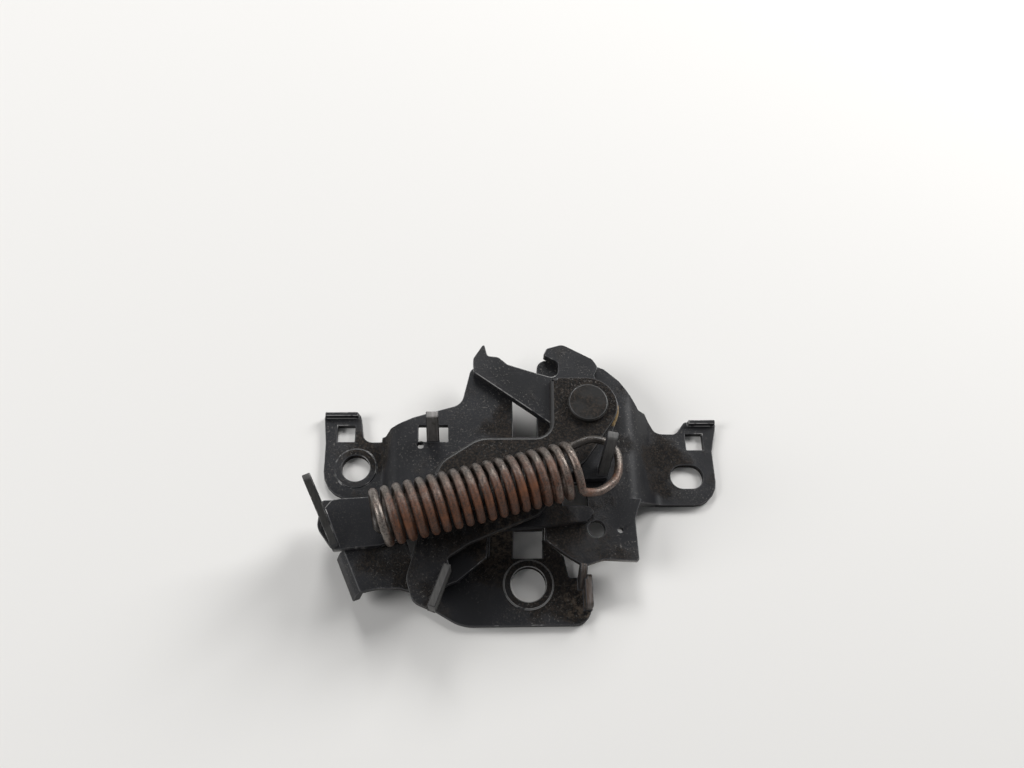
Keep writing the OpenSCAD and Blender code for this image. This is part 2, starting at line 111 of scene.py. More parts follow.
# Where dirt has gathered: centre, core and reach in millimetres, and how much more it covers
MIDDLE = ((2, 16, 10), 14, 34, 0.5)
BOSS_CORNER = ((17, -4, 2), 4, 12, 0.75)
SLOT_SIDE = ((2, 48, 13), 6, 26, 0.4)
LEFT_FOOT = ((-42, 8, 13), 5, 20, 0.35)
RIVET_SIDE = ((21, 58, 18), 14, 30, 0.3)
FRONT_LEFT = ((-14, 40, 20), 10, 24, 0.35)
RIGHT_EAR = ((51, 42, 3), 7, 15, 0.45)
LEFT_EAR = ((-53, 50, 3), 5, 12, 0.35)
PAWL_NOSE = ((18, 20, 16), 6, 22, 0.5)

# Where edges are rubbed bare and painted paler as highlights: centre, core and reach in millimetres, and
# how much more
BOSS_HOLE_WEAR_AND_HIGHLIGHT = ((0, 0, 2.6), 9, 11, 0.8)
LEFT_HOLE_WEAR_AND_HIGHLIGHT = ((-61, 42.6, 2.6), 8, 10, 0.4)
# Painted highlights along the ears' top lips
LEFT_LIP_HIGHLIGHT = ((-67, 65, 4), 5, 8, 0.7)
RIGHT_LIP_HIGHLIGHT = ((66, 61, 4), 5, 8, 0.7)
JAW_WEAR_AND_HIGHLIGHT = ((-4, 66, 17), 14, 20, 0.6)

# Single spots: centre, core and reach in millimetres
CRUMBS_MIDDLE = ((-10, 12, 9), 5, 12)
CRUMBS_BOSS = ((18, -7, 3), 3, 9)
CRUMBS_ARM = ((-7, 14.5, 20), 4, 12)
GREASE = ((33.2, 56.5, 16), 3.0, 6.5)
FLANGE_RUST = ((21, -3, 8), 10, 16)
# Painted shade on the spring wire: round the hook's tab, and on the hooked end under the coils
LOOP_WIRE_SHADE = ((20, 43, 25), 7, 15)
HOOKED_WIRE_SHADE = ((-49.5, 13.5, 20), 8, 12)

# The materials' order on every piece
PAINT, EDGE, SHEAR = 0, 1, 2


# Selecting and edit mode

def only(piece):
    """Selects one object and makes it active."""
    bpy.ops.object.select_all(action="DESELECT")
    piece.select_set(True)
    bpy.context.view_layer.objects.active = piece


def pick_faces(piece, wanted):
    """Selects the faces whose centre, in millimetres, and normal are wanted. Leaves edit mode on."""
    only(piece)
    bpy.ops.object.mode_set(mode="EDIT")
    bpy.ops.mesh.select_mode(type="FACE")
    bpy.ops.mesh.select_all(action="DESELECT")
    bpy.ops.object.mode_set(mode="OBJECT")
    for face in piece.data.polygons:
        face.select = wanted(face.center / MM, face.normal)
    bpy.ops.object.mode_set(mode="EDIT")


def pick_edges(piece, wanted):
    """Selects the edges for which wanted(middle, turn between its faces) holds. Leaves edit mode on."""
    only(piece)
    bpy.ops.object.mode_set(mode="EDIT")
    bpy.ops.mesh.select_mode(type="EDGE")
    bpy.ops.mesh.select_all(action="DESELECT")
    bpy.ops.object.mode_set(mode="OBJECT")
    mesh = piece.data
    normals = {}
    for face in mesh.polygons:
        for key in face.edge_keys:
            normals.setdefault(key, []).append(face.normal)
    for edge in mesh.edges:
        sides = normals.get(edge.key, [])
        if len(sides) != 2:
            continue
        a, b = (mesh.vertices[i].co for i in edge.vertices)
        turn = math.degrees(sides[0].angle(sides[1], 0.0))
        edge.select = wanted((a + b) / (2 * MM), turn)
    bpy.ops.object.mode_set(mode="EDIT")


def merged_copy(node, name):
    """A copy of a CAD node with the points of its loose triangles merged."""
    piece = bpy.data.objects.new(name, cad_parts[node].data.copy())
    bpy.context.collection.objects.link(piece)
    piece.data.materials.clear()
    only(piece)
    bpy.ops.object.mode_set(mode="EDIT")
    bpy.ops.mesh.select_mode(type="VERT")
    bpy.ops.mesh.select_all(action="SELECT")
    bpy.ops.mesh.remove_doubles(threshold=CAD_MERGE * MM)
    bpy.ops.mesh.customdata_custom_splitnormals_clear()
    bpy.ops.object.mode_set(mode="OBJECT")
    return piece


def round_edges(piece, radius, wanted, steps=BREAK_STEPS):
    """Bevels the wanted edges and gives the new faces the edge's material."""
    pick_edges(piece, wanted)
    bpy.ops.mesh.bevel(offset=radius * MM, segments=steps, affect="EDGES", clamp_overlap=False,
                       material=EDGE, loop_slide=False)
    bpy.ops.mesh.select_all(action="SELECT")
    bpy.ops.mesh.remove_doubles(threshold=BEVEL_MERGE * MM)
    bpy.ops.mesh.dissolve_degenerate(threshold=BEVEL_MERGE * MM)
    bpy.ops.object.mode_set(mode="OBJECT")


def pull_in(piece, node):
    """Puts points that a bevel threw off the CAD surface back onto it."""
    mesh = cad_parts[node].data
    surface = BVHTree.FromPolygons([point.co for point in mesh.vertices],
                                   [face.vertices for face in mesh.polygons])
    for point in piece.data.vertices:
        place, _, _, distance = surface.find_nearest(point.co)
        if distance > STRAY_LIMIT * MM:
            point.co = place


def paint_faces(piece, slot, wanted):
    """Gives the wanted faces a material slot."""
    pick_faces(piece, wanted)
    piece.active_material_index = slot
    bpy.ops.object.material_slot_assign()
    bpy.ops.object.mode_set(mode="OBJECT")


def smooth(piece, angle):
    """Smooth shading that keeps large flat faces flat up to their rounded edges."""
    only(piece)
    bpy.ops.object.shade_smooth_by_angle(angle=math.radians(angle))
    weigh = piece.modifiers.new("flat_faces", "WEIGHTED_NORMAL")
    weigh.mode = "FACE_AREA"
    weigh.keep_sharp = True
    bpy.ops.object.modifier_apply(modifier=weigh.name)


# Shader node groups

def new_group(name, inputs, outputs):
    """An empty node group with named sockets: (name, kind, default)."""
    group = bpy.data.node_groups.new(name, "ShaderNodeTree")
    for socket, kind, value in inputs:
        made = group.interface.new_socket(name=socket, in_out="INPUT", socket_type=kind)
        if value is not None:
            made.default_value = value
    for socket, kind in outputs:
        group.interface.new_socket(name=socket, in_out="OUTPUT", socket_type=kind)
    return group, group.nodes.new("NodeGroupInput"), group.nodes.new("NodeGroupOutput")


def noise(tree, vector, scale, detail=4.0, roughness=0.6):
    """Noise between 0 and 1 whose scale is in waves for each metre."""
    node = tree.nodes.new("ShaderNodeTexNoise")
    node.inputs["Detail"].default_value = detail
    node.inputs["Roughness"].default_value = roughness
    tree.links.new(vector, node.inputs["Vector"])
    feed(tree, scale, node.inputs["Scale"])
    return node.outputs["Fac"]


def feed(tree, value, socket):
    """Links a socket, or sets a plain value."""
    if isinstance(value, bpy.types.NodeSocket):
        tree.links.new(value, socket)
    else:
        socket.default_value = value


def math_node(tree, operation, a, b=0.0, clamp=False):
    """One sum, product or comparison of two sockets or plain values."""
    node = tree.nodes.new("ShaderNodeMath")
    node.operation = operation
    node.use_clamp = clamp
    feed(tree, a, node.inputs[0])
    feed(tree, b, node.inputs[1])
    return node.outputs[0]


def ramp(tree, value, low, high, to_low=0.0, to_high=1.0):
    """Smooth step of a value from low to high."""
    node = tree.nodes.new("ShaderNodeMapRange")
    node.interpolation_type = "SMOOTHSTEP"
    feed(tree, value, node.inputs["Value"])
    feed(tree, low, node.inputs["From Min"])
    feed(tree, high, node.inputs["From Max"])
    feed(tree, to_low, node.inputs["To Min"])
    feed(tree, to_high, node.inputs["To Max"])
    return node.outputs["Result"]


def opaque(colour):
    """A plain colour with full alpha. A socket passes as it is."""
    return (*colour, 1) if isinstance(colour, tuple) else colour


def mix_colour(tree, mask, a, b):
    """Colour a where the mask is 0 and colour b where it is 1."""
    node = tree.nodes.new("ShaderNodeMix")
    node.data_type = "RGBA"
    feed(tree, mask, node.inputs["Factor"])
    feed(tree, opaque(a), node.inputs[6])
    feed(tree, opaque(b), node.inputs[7])
    return node.outputs[2]


def scaled(tree, vector, x, y, z, turn=0.0):
    """Coordinates turned about Z, in degrees, and stretched."""
    node = tree.nodes.new("ShaderNodeMapping")
    node.inputs["Scale"].default_value = (x, y, z)
    node.inputs["Rotation"].default_value = (0, 0, math.radians(turn))
    tree.links.new(vector, node.inputs["Vector"])
    return node.outputs["Vector"]


def make_dirt_group():
    """Greasy dirt: a patchy mask, the height of its grains and their colour."""
    group, inlet, outlet = new_group(
        "greasy_dirt",
        [("Vector", "NodeSocketVector", None), ("Patch Scale", "NodeSocketFloat", 45.0),
         ("Grain Scale", "NodeSocketFloat", 900.0), ("Cover", "NodeSocketFloat", 0.5)],
        [("Mask", "NodeSocketFloat"), ("Grain", "NodeSocketFloat"), ("Colour", "NodeSocketColor")])
    patches = noise(group, inlet.outputs["Vector"], inlet.outputs["Patch Scale"], 5.0, 0.62)
    grains = noise(group, inlet.outputs["Vector"], inlet.outputs["Grain Scale"], 4.0, 0.75)
    less = math_node(group, "MULTIPLY", inlet.outputs["Cover"], 0.62)
    low = math_node(group, "SUBTRACT", 0.78, less)
    patch = ramp(group, patches, low, math_node(group, "ADD", low, 0.26))
    ragged = math_node(group, "MULTIPLY", patch, ramp(group, grains, 0.3, 0.55, 0.3, 1.0), clamp=True)
    lumps = noise(group, inlet.outputs["Vector"], 520.0, 3.0, 0.6)
    fine = math_node(group, "MULTIPLY", grains, 0.75)
    tone = math_node(group, "ADD", fine, math_node(group, "MULTIPLY", lumps, 0.25))
    colour = mix_colour(group, ramp(group, tone, 0.42, 0.60), DIRT_DARK, DIRT_BROWN)
    group.links.new(ragged, outlet.inputs["Mask"])
    group.links.new(math_node(group, "MULTIPLY", ragged, tone), outlet.inputs["Grain"])
    group.links.new(colour, outlet.inputs["Colour"])
    return group


def make_chip_group():
    """Small pale specks and hairline scratches in the paint."""
    group, inlet, outlet = new_group(
        "paint_chips",
        [("Vector", "NodeSocketVector", None), ("Scale", "NodeSocketFloat", 420.0),
         ("Amount", "NodeSocketFloat", 0.3), ("Scratches", "NodeSocketFloat", 0.0)],
        [("Mask", "NodeSocketFloat")])
    flecks = noise(group, inlet.outputs["Vector"], inlet.outputs["Scale"], 5.0, 0.7)
    less = math_node(group, "MULTIPLY", inlet.outputs["Amount"], 0.32)
    edge = math_node(group, "SUBTRACT", 0.83, less)
    fields = noise(group, inlet.outputs["Vector"], 60.0, 2.0, 0.5)
    spread = ramp(group, fields, 0.38, 0.60)
    specks = ramp(group, flecks, edge, math_node(group, "ADD", edge, 0.08))
    chips = math_node(group, "MULTIPLY", specks, spread)
    rising = scaled(group, inlet.outputs["Vector"], 130.0, 2400.0, 2400.0, 38.0)
    falling = scaled(group, inlet.outputs["Vector"], 150.0, 2400.0, 2400.0, -22.0)
    lines = math_node(group, "MAXIMUM", noise(group, rising, 1.0, 2.0, 0.5),
                      noise(group, falling, 1.0, 2.0, 0.5))
    faint = math_node(group, "MULTIPLY", spread, inlet.outputs["Scratches"])
    hair = math_node(group, "MULTIPLY", ramp(group, lines, 0.68, 0.78), faint)
    group.links.new(math_node(group, "MAXIMUM", chips, hair), outlet.inputs["Mask"])
    return group


def make_skin_group():
    """Unevenness of a sprayed or rolled surface for a bump, slow changes of its tone, and dust."""
    group, inlet, outlet = new_group(
        "uneven_skin",
        [("Vector", "NodeSocketVector", None), ("Scale", "NodeSocketFloat", 700.0)],
        [("Height", "NodeSocketFloat"), ("Tone", "NodeSocketFloat"), ("Dust", "NodeSocketFloat")])
    fine = noise(group, inlet.outputs["Vector"], inlet.outputs["Scale"], 3.0, 0.6)
    slow = noise(group, inlet.outputs["Vector"], 38.0, 3.0, 0.5)
    group.links.new(fine, outlet.inputs["Height"])
    group.links.new(ramp(group, slow, 0.3, 0.7), outlet.inputs["Tone"])
    specks = noise(group, inlet.outputs["Vector"], 2600.0, 2.0, 0.6)
    dust = math_node(group, "MULTIPLY", ramp(group, specks, 0.55, 0.70), ramp(group, slow, 0.38, 0.62))
    group.links.new(dust, outlet.inputs["Dust"])
    return group


def near(tree, vector, centre, core, reach):
    """1 within core of a point and 0 beyond reach, in millimetres."""
    node = tree.nodes.new("ShaderNodeVectorMath")
    node.operation = "DISTANCE"
    tree.links.new(vector, node.inputs[0])
    node.inputs[1].default_value = [c * MM for c in centre]
    return ramp(tree, node.outputs["Value"], reach * MM, core * MM)


dirt_group = make_dirt_group()
chip_group = make_chip_group()
skin_group = make_skin_group()


def place_group(tree, group, vector, **values):
    """A node group on its coordinates, with its other inputs given by name."""
    node = tree.nodes.new("ShaderNodeGroup")
    node.node_tree = group
    tree.links.new(vector, node.inputs["Vector"])
    for name, value in values.items():
        feed(tree, value, node.inputs[name.replace("_", " ").title()])
    return node.outputs


# Materials

def new_material(name):
    """A material with its node tree, its shader and its Object coordinates."""
    material = bpy.data.materials.new(name)
    material.use_nodes = True
    tree = material.node_tree
    shader = tree.nodes["Principled BSDF"]
    vector = tree.nodes.new("ShaderNodeTexCoord").outputs["Object"]
    return material, tree, shader, vector


def bump(tree, shader, height, strength, distance):
    """Bump of a height socket. The distance is in millimetres."""
    node = tree.nodes.new("ShaderNodeBump")
    node.inputs["Strength"].default_value = strength
    node.inputs["Distance"].default_value = distance * MM
    tree.links.new(height, node.inputs["Height"])
    tree.links.new(node.outputs["Normal"], shader.inputs["Normal"])


def smear(tree, vector, colour, centre, core, reach):
    """Old yellow grease over a colour, round a point in millimetres."""
    spot = near(tree, vector, centre, core, reach)
    lump = math_node(tree, "MULTIPLY", spot, noise(tree, vector, 600.0))
    return mix_colour(tree, ramp(tree, lump, 0.2, 0.5), colour, GREASE_YELLOW)


def satin_paint(name, light, cover, heavy, chips, scratches, gloss, grease=None, caked=()):
    """Satin black coating with greasy dirt, pale specks and scratches.

    heavy lists (centre, core, reach, more): places where the dirt covers more, in millimetres.
    caked lists (centre, core, reach): places with dry brown dust on the dirt.
    """
    material, tree, shader, vector = new_material(name)
    skin = place_group(tree, skin_group, vector, scale=650.0)
    amount = cover
    for centre, core, reach, more in heavy:
        spot = math_node(tree, "MULTIPLY", near(tree, vector, centre, core, reach), more)
        amount = math_node(tree, "ADD", amount, spot, clamp=True)
    grime = place_group(tree, dirt_group, vector, patch_scale=70.0, grain_scale=1400.0, cover=amount)
    worn = place_group(tree, chip_group, vector, scale=1250.0, amount=chips, scratches=scratches)
    clean = mix_colour(tree, skin["Tone"], BLACK, light)
    paint = mix_colour(tree, math_node(tree, "MULTIPLY", skin["Dust"], 0.75), clean, DUST)
    dirty = mix_colour(tree, grime["Mask"], paint, grime["Colour"])
    crumbs = ramp(tree, noise(tree, vector, 520.0, 5.0, 0.7), 0.44, 0.64)
    for centre, core, reach in caked:
        cake = math_node(tree, "MULTIPLY", near(tree, vector, centre, core, reach), crumbs)
        dirty = mix_colour(tree, cake, dirty, CRUMB_BROWN)
    colour = mix_colour(tree, worn["Mask"], dirty, CHIP_GREY)
    if grease:
        colour = smear(tree, vector, colour, *grease)
    tree.links.new(colour, shader.inputs["Base Color"])
    rough = ramp(tree, grime["Mask"], 0.0, 1.0, gloss, 0.85)
    tree.links.new(rough, shader.inputs["Roughness"])
    shader.inputs["Specular IOR Level"].default_value = 0.20
    fine = math_node(tree, "MULTIPLY", skin["Height"], 0.08)
    height = math_node(tree, "ADD", fine, grime["Grain"])
    bump(tree, shader, height, 0.9, 0.5)
    return material


def bare_and_highlit_edge(name, paint, amount, spots=(), grease=None):
    """Edge where the coating is rubbed through to grey steel in places, a pale colour that also paints
    edge highlights.

    spots lists (centre, core, reach, more): places that are rubbed more and painted paler as highlights,
    in millimetres.
    """
    material, tree, shader, vector = new_material(name)
    skin = place_group(tree, skin_group, vector, scale=900.0)
    patches = noise(tree, vector, 210.0, 4.0, 0.65)
    for centre, core, reach, more in spots:
        spot = math_node(tree, "MULTIPLY", near(tree, vector, centre, core, reach), 0.30 * more)
        patches = math_node(tree, "ADD", patches, spot)
    rubbed = ramp(tree, patches, 0.74 - 0.30 * amount, 0.86 - 0.30 * amount)
    colour = mix_colour(tree, rubbed, paint, STEEL_AND_HIGHLIGHT)
    if grease:
        colour = smear(tree, vector, colour, *grease)
    tree.links.new(colour, shader.inputs["Base Color"])
    tree.links.new(math_node(tree, "MULTIPLY", rubbed, 0.5), shader.inputs["Metallic"])
    shader.inputs["Roughness"].default_value = 0.42
    bump(tree, shader, skin["Height"], 0.4, 0.12)
    return material


def sheared_face(name, grey):
    """Grey face left by the press shears, with streaks across it, dirt in them and the flange's rust."""
    material, tree, shader, vector = new_material(name)
    streaks = noise(tree, scaled(tree, vector, 1400.0, 160.0, 160.0, 20.0), 1.0, 3.0, 0.6)
    grime = place_group(tree, dirt_group, vector, patch_scale=260.0, grain_scale=1500.0, cover=0.35)
    dark_grey = tuple(0.62 * part for part in grey)
    steel = mix_colour(tree, ramp(tree, streaks, 0.3, 0.7), dark_grey, grey)
    rusty = near(tree, vector, *FLANGE_RUST)
    brown = math_node(tree, "MULTIPLY", rusty, ramp(tree, streaks, 0.35, 0.6, 0.5, 1.0))
    aged = mix_colour(tree, brown, steel, OLD_RUST)
    colour = mix_colour(tree, grime["Mask"], aged, grime["Colour"])
    tree.links.new(colour, shader.inputs["Base Color"])
    shader.inputs["Metallic"].default_value = 0.25
    shader.inputs["Roughness"].default_value = 0.55
    bump(tree, shader, math_node(tree, "ADD", streaks, grime["Grain"]), 0.4, 0.2)
    return material


def rusty_wire(name):
    """Grey spring wire, rusted on its lower side between its ends, with painted shade near both ends,
    behind the hook's tab and under the coils.
    """
    material, tree, shader, vector = new_material(name)
    along = tree.nodes.new("ShaderNodeMapping")
    along.vector_type = "TEXTURE"
    along.inputs["Location"].default_value = [part * MM for part in (*SPRING_LEFT, SPRING_Z)]
    along.inputs["Rotation"].default_value = (0, 0, math.radians(SPRING_TILT))
    tree.links.new(vector, along.inputs["Vector"])
    split = tree.nodes.new("ShaderNodeSeparateXYZ")
    tree.links.new(along.outputs["Vector"], split.inputs["Vector"])
    low_side = ramp(tree, split.outputs["Y"], 9.0 * MM, -9.0 * MM)
    right_end = ramp(tree, split.outputs["X"], 66.0 * MM, 46.0 * MM, 0.3, 1.0)
    left_end = ramp(tree, split.outputs["X"], 1.5 * MM, 7.0 * MM, 0.0, 1.0)
    place = math_node(tree, "MULTIPLY", math_node(tree, "MULTIPLY", low_side, right_end), left_end)
    patches = noise(tree, vector, 260.0, 5.0, 0.65)
    pits = noise(tree, vector, 1700.0, 4.0, 0.75)
    rust_field = math_node(tree, "ADD", patches, math_node(tree, "MULTIPLY", place, 0.6))
    rust = ramp(tree, rust_field, 0.42, 0.95)
    grey = mix_colour(tree, ramp(tree, pits, 0.3, 0.6), WIRE_DARK, WIRE_GREY)
    brown = mix_colour(tree, ramp(tree, pits, 0.35, 0.65), RUST_DARK, RUST_BROWN)
    blooms = ramp(tree, noise(tree, vector, 150.0, 4.0, 0.6), 0.48, 0.72)
    flaky = mix_colour(tree, math_node(tree, "MULTIPLY", blooms, low_side), brown, RUST_FRESH)
    grubby = mix_colour(tree, rust, grey, flaky)
    # Painted shade darkens the wire round the hook's tab and at the hooked end under the coils
    shade_place = math_node(tree, "MAXIMUM", near(tree, vector, *LOOP_WIRE_SHADE), near(tree, vector, *HOOKED_WIRE_SHADE))
    painted_shade = math_node(tree, "MULTIPLY", shade_place, ramp(tree, patches, 0.32, 0.55, 0.55, 1.0))
    tree.links.new(mix_colour(tree, painted_shade, grubby, WIRE_SHADE), shader.inputs["Base Color"])
    bare = math_node(tree, "SUBTRACT", 1.0, math_node(tree, "MAXIMUM", rust, painted_shade))
    tree.links.new(ramp(tree, bare, 0.0, 1.0, 0.1, 0.85), shader.inputs["Metallic"])
    tree.links.new(ramp(tree, rust, 0.0, 1.0, 0.30, 0.58), shader.inputs["Roughness"])
    bump(tree, shader, pits, 0.5, 0.2)
    return material


def greasy_steel(name):
    """Dark rivet steel with grease on it."""
    material, tree, shader, vector = new_material(name)
    grime = place_group(tree, dirt_group, vector, patch_scale=120.0, grain_scale=900.0, cover=0.75)
    skin = place_group(tree, skin_group, vector, scale=500.0)
    steel = mix_colour(tree, skin["Tone"], RIVET_DARK, RIVET_GREY)
    colour = mix_colour(tree, grime["Mask"], steel, grime["Colour"])
    tree.links.new(colour, shader.inputs["Base Color"])
    shader.inputs["Specular IOR Level"].default_value = 0.16
    tree.links.new(ramp(tree, grime["Mask"], 0.0, 1.0, 0.45, 0.75), shader.inputs["Roughness"])
    bump(tree, shader, math_node(tree, "ADD", skin["Height"], grime["Grain"]), 0.45, 0.2)
    return material


base_paint = satin_paint(
    "base_satin_black", light=BLACK_WORN, cover=0.44,
    heavy=[MIDDLE, BOSS_CORNER, SLOT_SIDE, LEFT_FOOT, RIGHT_EAR, LEFT_EAR],
    chips=0.81, scratches=0.25, gloss=0.46, caked=[CRUMBS_MIDDLE, CRUMBS_BOSS])
front_paint = satin_paint(
    "front_dirty_black", light=BLACK_WORN, cover=0.62, heavy=[RIVET_SIDE, FRONT_LEFT],
    chips=0.84, scratches=0.1, gloss=0.5, caked=[CRUMBS_ARM])
hook_paint = satin_paint(
    "hook_rubbed_black", light=BLACK_RUBBED, cover=0.46, heavy=[],
    chips=0.80, scratches=0.95, gloss=0.46, grease=GREASE)
pawl_paint = satin_paint(
    "pawl_smooth_black", light=BLACK_WORN, cover=0.2, heavy=[PAWL_NOSE],
    chips=0.24, scratches=0.0, gloss=0.38)
# Edge materials: rubbed steel whose pale colour is also a painted edge highlight
base_edge = bare_and_highlit_edge("base_edge", (0.016, 0.016, 0.018), 0.5,
                      spots=[BOSS_HOLE_WEAR_AND_HIGHLIGHT, LEFT_HOLE_WEAR_AND_HIGHLIGHT, LEFT_LIP_HIGHLIGHT, RIGHT_LIP_HIGHLIGHT])
front_edge = bare_and_highlit_edge("front_edge", (0.012, 0.0112, 0.0108), 0.3)
hook_edge = bare_and_highlit_edge("hook_edge", (0.018, 0.018, 0.020), 0.6, spots=[JAW_WEAR_AND_HIGHLIGHT], grease=GREASE)
pawl_edge = bare_and_highlit_edge("pawl_edge", (0.022, 0.022, 0.024), 0.9)
rivet_rim = bare_and_highlit_edge("rivet_rim", (0.020, 0.0195, 0.019), 0.5)
shear_grey = sheared_face("sheared_grey", (0.062, 0.060, 0.057))
# Paler copies of the sheared grey: painted light on the base's post and flange top, and on the hook's
# tab
shear_painted_lit = sheared_face("sheared_painted_lit", (0.260, 0.248, 0.238))
shear_tab_painted_lit = sheared_face("sheared_tab_painted_lit", (0.105, 0.102, 0.099))
spring_wire = rusty_wire("rusty_spring_wire")
rivet_steel = greasy_steel("greasy_rivet_steel")


# Pieces

def sharp(middle, turn):
    return turn > SHARP_TURN


def on_front_rim(middle, turn):
    """The drawn rim along the front plate's left and upper edges."""
    on_top = abs(middle.z - FRONT_TOP) < 0.05
    upper = middle.y > 46.5 and middle.x < 10.5
    left = middle.x < -16 and middle.y > 30
    return turn > SHARP_TURN and on_top and (upper or left)


def pressing(node, name, body, paint, edge, sheared):
    """A copy of a CAD node that stands for it, with its three materials in the slots' order."""
    piece = merged_copy(node, name)
    for material in (paint, edge, sheared):
        piece.data.materials.append(material)
    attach(piece, body)
    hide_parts(node)
    return piece


def on_post(centre, normal):
    """The post bent up at the upper left window."""
    return centre.z > BASE_TOP + 1 and -36 < centre.x < -30 and centre.y > 47


def on_flange_top(centre, normal):
    """The top and front of the flange at the boss's right corner."""
    at_corner = centre.x > 16.5 and -10 < centre.y < 6 and centre.z > 3
    return at_corner and (normal.z > 0.5 or normal.y < -0.5)


def on_upstand(centre, normal):
    """The upstand at the front plate's lower left end."""
    return centre.z > FRONT_TOP + 0.3


def on_tab(centre, normal):
    """The lower face and the end of the hook's bent tab."""
    return centre.z > HOOK_TOP + 1 and (normal.y < -0.3 or normal.z > 0.5)


def on_ear_edge(centre, normal):
    """The narrow faces of the pawl's cable ear."""
    along = normal.x * EAR_RUN[0] + normal.y * EAR_RUN[1]
    return centre.z > PAWL_FLOOR + PAWL_SHEET + 1 and (abs(along) > 0.5 or normal.z > 0.5)


def on_highlit_lower_lip(centre, normal):
    """The lower lip of the pawl's left end, given the edge material as a painted highlight."""
    return centre.x < -40 and centre.y < 14 and normal.y < -0.6


def on_nose(centre, normal):
    """The pawl's right part, where dirt hides the edges."""
    return centre.x > -10


base = pressing("base_plate", "base_pressing", "frame",
                base_paint, base_edge, shear_painted_lit)
# The post and the flange's top take the paler sheared grey, which is painted light
paint_faces(base, SHEAR, lambda c, n: on_post(c, n) or on_flange_top(c, n))
round_edges(base, EDGE_BREAK, sharp)
pull_in(base, "base_plate")
smooth(base, FLAT_TURN)

front = pressing("front_plate", "front_pressing", "frame",
                 front_paint, front_edge, shear_grey)
paint_faces(front, SHEAR, on_upstand)
round_edges(front, RIM_RADIUS, on_front_rim, RIM_STEPS)
round_edges(front, FRONT_BREAK, sharp)
smooth(front, FLAT_TURN)

hook = pressing("hook", "hook_lever", "hook", hook_paint, hook_edge, shear_tab_painted_lit)
# The tab's faces take a paler sheared grey, which is painted light
paint_faces(hook, SHEAR, on_tab)
round_edges(hook, EDGE_BREAK, sharp)
pull_in(hook, "hook")
smooth(hook, FLAT_TURN)

pawl = pressing("release_pawl", "pawl_lever", "pawl",
                pawl_paint, pawl_edge, shear_grey)
paint_faces(pawl, SHEAR, on_ear_edge)
# The pawl's lower lip takes the pale edge material as a painted highlight
paint_faces(pawl, EDGE, on_highlit_lower_lip)
round_edges(pawl, EDGE_BREAK, sharp)
paint_faces(pawl, PAINT, on_nose)
smooth(pawl, FLAT_TURN)

for node, name in (("hook_rivet", "hook_rivet_head"), ("pawl_rivet", "pawl_rivet_head")):
    rivet = pressing(node, name, "frame", rivet_steel, rivet_rim, rivet_rim)
    round_edges(rivet, RIVET_BREAK, sharp)
    smooth(rivet, FLAT_TURN)


# Spring

COIL_RADIUS = (COIL_OD - WIRE_D) / 2
ROUTE_STEPS = 28
END_STEPS = 6
WIRE_ROUNDNESS = 4


def coil_point(angle, along):
    """Point on the coil at an angle, in degrees, and a distance along the axis, in millimetres."""
    tilt = math.radians(SPRING_TILT)
    lift = -COIL_RADIUS * math.sin(math.radians(angle))
    return Vector((
        SPRING_LEFT[0] + along * math.cos(tilt) - lift * math.sin(tilt),
        SPRING_LEFT[1] + along * math.sin(tilt) + lift * math.cos(tilt),
        SPRING_Z + COIL_RADIUS * math.cos(math.radians(angle))))


def smooth_run(points, steps):
    """Smooth curve through chosen points, without the last one."""
    run = []
    last = len(points) - 1
    for i in range(last):
        a, b = points[max(i - 1, 0)], points[i]
        c, d = points[i + 1], points[min(i + 2, last)]
        for k in range(steps):
            t = k / steps
            run.append(0.5 * (2 * b + (c - a) * t + (2 * a - 5 * b + 4 * c - d) * t * t
                              + (3 * b - a - 3 * c + d) * t ** 3))
    return run


def spring_route():
    """Middle lines of the wire: the hooked left end up to the coils, and the coils with the loop.

    The points of both ends are those of the part's source, in millimetres.
    """
    x, y = ANCHOR
    hook_z = PAWL_FLOOR - 1.6
    pitch = COIL_LENGTH / TURNS
    wound = TURNS - 0.25 - LOOP_EARLY / 360
    start, end = coil_point(180, 0), coil_point(180 + 360 * wound, pitch * wound)
    left = [
        Vector((x + 4.2, y + 0.8, hook_z)), Vector((x + 1.8, y + 0.2, hook_z + 0.1)),
        Vector((x + 0.2, y, PAWL_FLOOR)), Vector((x, y, PAWL_FLOOR + PAWL_SHEET)),
        Vector((x - 1.2, y - 1.6, SPRING_Z - COIL_RADIUS - 2.6)), start]
    loop = TAB_RIGHT + WIRE_D / 2 + TAB_SWING
    right = [
        end, Vector((loop - 13.6, 22.7, SPRING_Z + 2.1)), Vector((loop - 10.9, 22.9, SPRING_Z - 0.1)),
        Vector((loop - 6.7, 24.4, SPRING_Z - 2.1)), Vector((loop - 1.8, 28.8, SPRING_Z - 4.6)),
        Vector((loop, 34, SPRING_Z - 6)), Vector((loop, 39.6, SPRING_Z - 7.4)),
        Vector((loop - 3.6, 43.4, SPRING_Z - 7)), Vector((loop - 9.4, 44, SPRING_Z - 6)),
        Vector((loop - 16.6, 41.4, SPRING_Z - 7.2))]
    turned = [i / ROUTE_STEPS for i in range(int(ROUTE_STEPS * wound))]
    coils = [coil_point(180 + 360 * turn, pitch * turn) for turn in turned]
    hooked = smooth_run(left, END_STEPS) + coils[:3]
    return hooked, coils[1:] + smooth_run(right, END_STEPS) + [right[-1]]


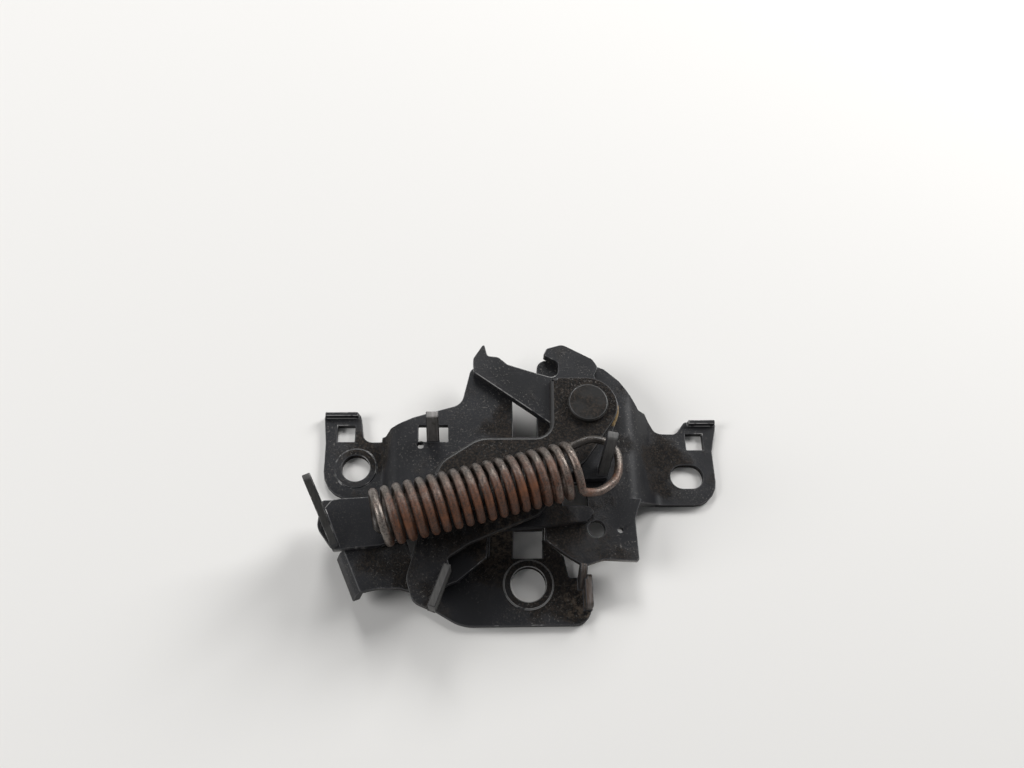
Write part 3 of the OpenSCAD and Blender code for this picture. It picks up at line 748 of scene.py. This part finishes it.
def sweep_wire(name, route):
    """Round wire swept along a route, standing for the spring's CAD node."""
    line = bpy.data.curves.new(name, "CURVE")
    line.dimensions = "3D"
    line.bevel_depth = WIRE_D / 2 * MM
    line.bevel_resolution = WIRE_ROUNDNESS
    line.use_fill_caps = True
    spline = line.splines.new("POLY")
    spline.points.add(len(route) - 1)
    for point, place in zip(spline.points, route):
        point.co = (*(place * MM), 1)
    piece = bpy.data.objects.new(name, line)
    bpy.context.collection.objects.link(piece)
    only(piece)
    bpy.ops.object.convert(target="MESH")
    piece = bpy.context.object
    piece.data.materials.clear()
    piece.data.materials.append(spring_wire)
    smooth(piece, WIRE_TURN)
    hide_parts("main_spring")
    return piece


hooked_route, coil_route = spring_route()
coils = sweep_wire("main_spring_wire", coil_route)
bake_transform(coils)
hooked_end = sweep_wire("main_spring_hooked_end", hooked_route)
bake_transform(hooked_end)


# Stage

def make_floor():
    """Plain pale floor under the part."""
    bpy.ops.object.select_all(action="DESELECT")
    bpy.ops.mesh.primitive_plane_add(size=4.0, location=(0, 0, 0))
    floor = bpy.context.object
    floor.name = "pale_floor"
    material, _, shader, _ = new_material("pale_floor")
    shader.inputs["Base Color"].default_value = opaque(FLOOR_PALE)
    shader.inputs["Roughness"].default_value = 0.8
    floor.data.materials.append(material)


def area_lamp(name, place, aim, size, power):
    """Round lamp aimed at a point. Places and size are in metres and the power is in watts."""
    lamp = bpy.data.lights.new(name, "AREA")
    lamp.shape = "DISK"
    lamp.size = size
    lamp.energy = power
    holder = bpy.data.objects.new(name, lamp)
    bpy.context.collection.objects.link(holder)
    holder.location = place
    holder.rotation_euler = (Vector(aim) - Vector(place)).to_track_quat("-Z", "Y").to_euler()


def make_camera():
    """Camera at the photograph's place, in metres in the part's frame."""
    sensor, picture_width, focal_px = 36.0, 1024.0, 900.0
    right = Vector((0.998807, -0.021622, 0.043782))
    up = Vector((0.0, 0.896621, 0.442800))
    back = Vector((-0.048831, -0.442272, 0.895551))
    place = Vector((-0.02067, -0.07453, 0.30838))
    data = bpy.data.cameras.new("photo_camera")
    data.sensor_fit = "HORIZONTAL"
    data.sensor_width = sensor
    data.lens = sensor * focal_px / picture_width
    data.clip_start = 0.01
    camera = bpy.data.objects.new("photo_camera", data)
    bpy.context.collection.objects.link(camera)
    turn = Matrix((right, up, back)).transposed().to_4x4()
    camera.matrix_world = Matrix.Translation(place) @ turn
    bpy.context.scene.camera = camera


def make_light():
    """Three large soft lamps and a weak sky."""
    world = bpy.data.worlds.new("soft_room")
    bpy.context.scene.world = world
    world.use_nodes = True
    sky = world.node_tree.nodes["Background"]
    sky.inputs["Color"].default_value = opaque(SKY_WHITE)
    rays = world.node_tree.nodes.new("ShaderNodeLightPath").outputs
    seen = math_node(world.node_tree, "ADD", rays["Is Camera Ray"], rays["Is Glossy Ray"])
    seen = math_node(world.node_tree, "ADD", seen, rays["Is Transmission Ray"], clamp=True)
    strength = ramp(world.node_tree, seen, 0.0, 1.0, SKY_LIGHT, SKY_SEEN)
    world.node_tree.links.new(strength, sky.inputs["Strength"])
    middle = (0.0, 0.03, 0.0)
    area_lamp("left_lamp", (-1.28, -0.02, 0.88), middle, 0.8, 12.8)
    area_lamp("right_lamp", (0.85, 0.70, 0.74), middle, 0.64, 12.5)
    area_lamp("top_lamp", (-0.16, 1.26, 1.12), middle, 0.56, 11.0)


make_floor()
make_camera()
make_light()
bpy.context.scene.view_settings.view_transform = "Standard"
